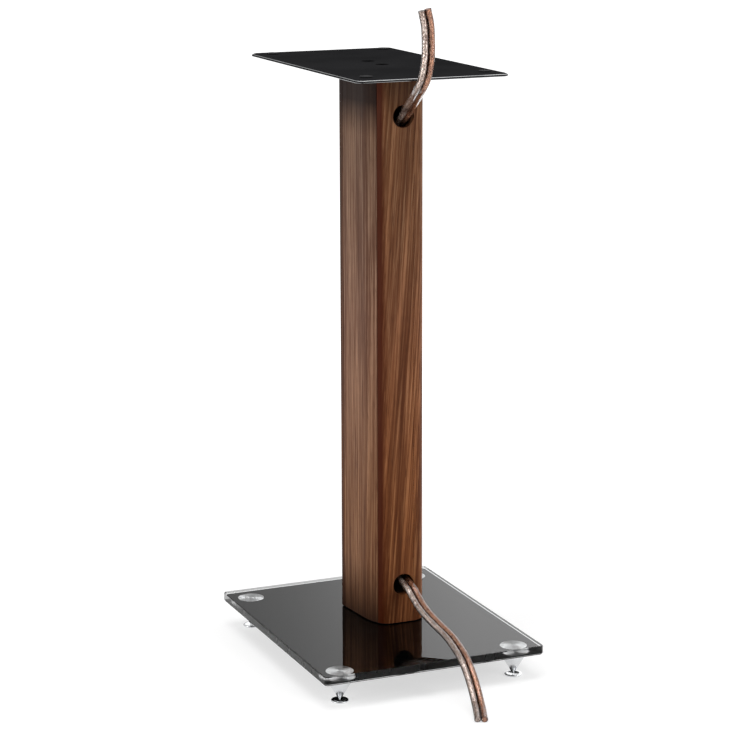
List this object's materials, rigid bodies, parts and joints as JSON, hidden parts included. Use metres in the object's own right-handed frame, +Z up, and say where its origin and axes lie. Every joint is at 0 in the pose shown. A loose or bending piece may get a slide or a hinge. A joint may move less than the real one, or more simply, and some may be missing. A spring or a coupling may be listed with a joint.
{
  "type": "speaker stand",
  "caption": "Speaker stand with a bowed hollow wood-veneer column, a thin dark top plate with pads, a glass base on screw spikes in shoes, and a flat cable through the column.",
  "frame": {"origin": "on the floor under the middle of the stand's overall width and depth, free cable left out", "axes": "+Z up, -Y towards the front of the stand, the cable holes face +Y, +X to the right seen from the front"},
  "size_m": [0.234, 0.392, 0.6648],
  "materials": {
    "polished_metal": "mirror-polished, bright",
    "brushed_metal": "turned face, fine circular brushing",
    "clear_glass": "clear, polished edges",
    "black_film": "black back-paint seen through the glass",
    "veneer": "walnut veneer, straight upright grain, satin lacquer",
    "plain_timber": "plain, unfinished, hidden",
    "dark_plate": "satin near-black with a bright bevel",
    "dark_screw": "black, flush",
    "plain_steel": "plated",
    "brass": "plain",
    "white_nylon": "natural",
    "black_rubber": "matt",
    "clear_cable": "clear jacket over a tinned strand and a copper strand"
  },
  "bodies": {
    "stand": {"foot_plate_front_left": "brushed_metal", "foot_plate_front_right": "brushed_metal", "foot_plate_rear_right": "brushed_metal", "foot_plate_rear_left": "brushed_metal", "base_glass": "clear_glass", "base_backing": "black_film", "column_front_panel": "veneer", "column_rear_panel": "veneer", "column_right_panel": "veneer", "column_left_panel": "veneer", "column_gasket": "black_rubber", "column_top_block": "plain_timber", "column_bottom_block": "plain_timber", "base_screw_front": "plain_steel", "base_washer_front": "plain_steel", "base_bush_front": "white_nylon", "base_insert_front": "brass", "base_screw_rear": "plain_steel", "base_washer_rear": "plain_steel", "base_bush_rear": "white_nylon", "base_insert_rear": "brass", "top_plate": "dark_plate", "top_screw_front": "dark_screw", "top_insert_front": "brass", "top_screw_rear": "dark_screw", "top_insert_rear": "brass", "pad_front_left": "black_rubber", "pad_front_right": "black_rubber", "pad_rear_right": "black_rubber", "pad_rear_left": "black_rubber", "cable_upper": "clear_cable", "cable_inside": "clear_cable", "cable_lower": "clear_cable"},
    "shoe_front_left": {"shoe_front_left": "polished_metal"},
    "spike_front_left": {"spike_front_left": "polished_metal"},
    "shoe_front_right": {"shoe_front_right": "polished_metal"},
    "spike_front_right": {"spike_front_right": "polished_metal"},
    "shoe_rear_right": {"shoe_rear_right": "polished_metal"},
    "spike_rear_right": {"spike_rear_right": "polished_metal"},
    "shoe_rear_left": {"shoe_rear_left": "polished_metal"},
    "spike_rear_left": {"spike_rear_left": "polished_metal"}
  },
  "joints": [
    {"name": "level_front_left", "type": "slide", "parent": "stand", "child": "shoe_front_left", "axis": [0, 0, -1], "range_m": [0, 0.006]},
    {"name": "turn_front_left", "type": "hinge", "parent": "shoe_front_left", "child": "spike_front_left", "pos_m": [-0.0934, -0.1162, 0.0013], "axis": [0, 0, -1], "range_deg": [0, 2160]},
    {"name": "level_front_right", "type": "slide", "parent": "stand", "child": "shoe_front_right", "axis": [0, 0, -1], "range_m": [0, 0.006]},
    {"name": "turn_front_right", "type": "hinge", "parent": "shoe_front_right", "child": "spike_front_right", "pos_m": [0.0934, -0.1162, 0.0013], "axis": [0, 0, -1], "range_deg": [0, 2160]},
    {"name": "level_rear_right", "type": "slide", "parent": "stand", "child": "shoe_rear_right", "axis": [0, 0, -1], "range_m": [0, 0.006]},
    {"name": "turn_rear_right", "type": "hinge", "parent": "shoe_rear_right", "child": "spike_rear_right", "pos_m": [0.0934, 0.1304, 0.0013], "axis": [0, 0, -1], "range_deg": [0, 2160]},
    {"name": "level_rear_left", "type": "slide", "parent": "stand", "child": "shoe_rear_left", "axis": [0, 0, -1], "range_m": [0, 0.006]},
    {"name": "turn_rear_left", "type": "hinge", "parent": "shoe_rear_left", "child": "spike_rear_left", "pos_m": [-0.0934, 0.1304, 0.0013], "axis": [0, 0, -1], "range_deg": [0, 2160]}
  ],
  "couplings": [
    {"joint": "turn_front_left", "follows": "level_front_left", "rad_per_m": 6283.2},
    {"joint": "turn_front_right", "follows": "level_front_right", "rad_per_m": 6283.2},
    {"joint": "turn_rear_right", "follows": "level_rear_right", "rad_per_m": 6283.2},
    {"joint": "turn_rear_left", "follows": "level_rear_left", "rad_per_m": 6283.2}
  ]
}
